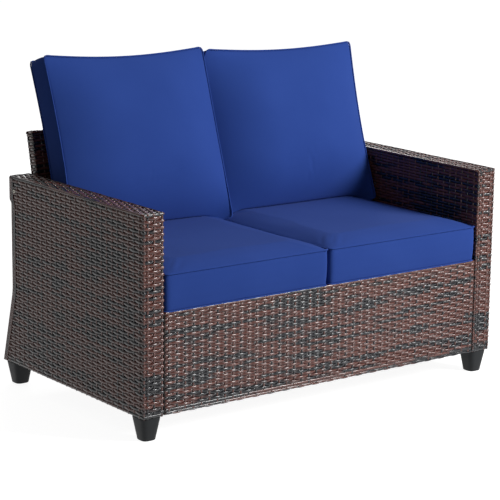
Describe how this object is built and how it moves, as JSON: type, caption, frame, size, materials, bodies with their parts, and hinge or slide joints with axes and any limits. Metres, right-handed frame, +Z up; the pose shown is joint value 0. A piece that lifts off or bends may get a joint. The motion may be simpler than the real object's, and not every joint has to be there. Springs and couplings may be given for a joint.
{
  "type": "patio loveseat",
  "caption": "Patio loveseat with woven resin arms, apron and back on welded tube frames, tapered feet and loose blue box-edged cushions.",
  "frame": {"origin": "on the floor, in the middle of the plan", "axes": "+X across the seat, to the right when looking at its front; +Y from the front to the back; +Z up"},
  "size_m": [1.16, 0.68, 0.8904],
  "materials": {
    "wicker": "woven flat resin strands, charcoal and reddish brown, semi-gloss",
    "coated_steel": "dark powder coat",
    "foot_plastic": "moulded black plastic",
    "cushion_fabric": "royal blue woven polyester",
    "foam": "polyurethane foam",
    "fibre_fill": "polyester fibre",
    "zinc_steel": "zinc plated"
  },
  "bodies": {
    "seat_base": {"apron_weave_front": "wicker", "apron_weave_rear": "wicker", "arm_frame_left": "coated_steel", "arm_frame_right": "coated_steel", "arm_weave_left": "wicker", "arm_weave_right": "wicker", "back_bolts": "zinc_steel", "back_frame": "coated_steel", "back_nuts": "zinc_steel", "back_washers": "zinc_steel", "back_weave": "wicker", "drop_frame_front": "coated_steel", "drop_frame_rear": "coated_steel", "foot_front_left": "foot_plastic", "foot_front_right": "foot_plastic", "foot_nuts": "zinc_steel", "foot_rear_left": "foot_plastic", "foot_rear_right": "foot_plastic", "foot_studs": "zinc_steel", "high_bolts": "zinc_steel", "high_nuts": "zinc_steel", "seat_deck_weave": "wicker", "seat_frame": "coated_steel", "side_bolts_left": "zinc_steel", "side_bolts_right": "zinc_steel", "side_nuts_left": "zinc_steel", "side_nuts_right": "zinc_steel", "side_washers_left": "zinc_steel", "side_washers_right": "zinc_steel"},
    "seat_cushion_left": {"seat_cover_left": "cushion_fabric", "seat_foam_left": "foam"},
    "back_cushion_left": {"back_cover_left": "cushion_fabric", "back_fill_left": "fibre_fill"},
    "seat_cushion_right": {"seat_cover_right": "cushion_fabric", "seat_foam_right": "foam"},
    "back_cushion_right": {"back_cover_right": "cushion_fabric", "back_fill_right": "fibre_fill"}
  },
  "joints": [
    {"name": "seat_cushion_left_lift", "type": "slide", "parent": "seat_base", "child": "seat_cushion_left", "axis": [0, 0, 1], "range_m": [0, 0.3]},
    {"name": "back_cushion_left_lift", "type": "slide", "parent": "seat_cushion_left", "child": "back_cushion_left", "axis": [0, 0, 1], "range_m": [0, 0.3]},
    {"name": "seat_cushion_right_lift", "type": "slide", "parent": "seat_base", "child": "seat_cushion_right", "axis": [0, 0, 1], "range_m": [0, 0.3]},
    {"name": "back_cushion_right_lift", "type": "slide", "parent": "seat_cushion_right", "child": "back_cushion_right", "axis": [0, 0, 1], "range_m": [0, 0.3]}
  ]
}
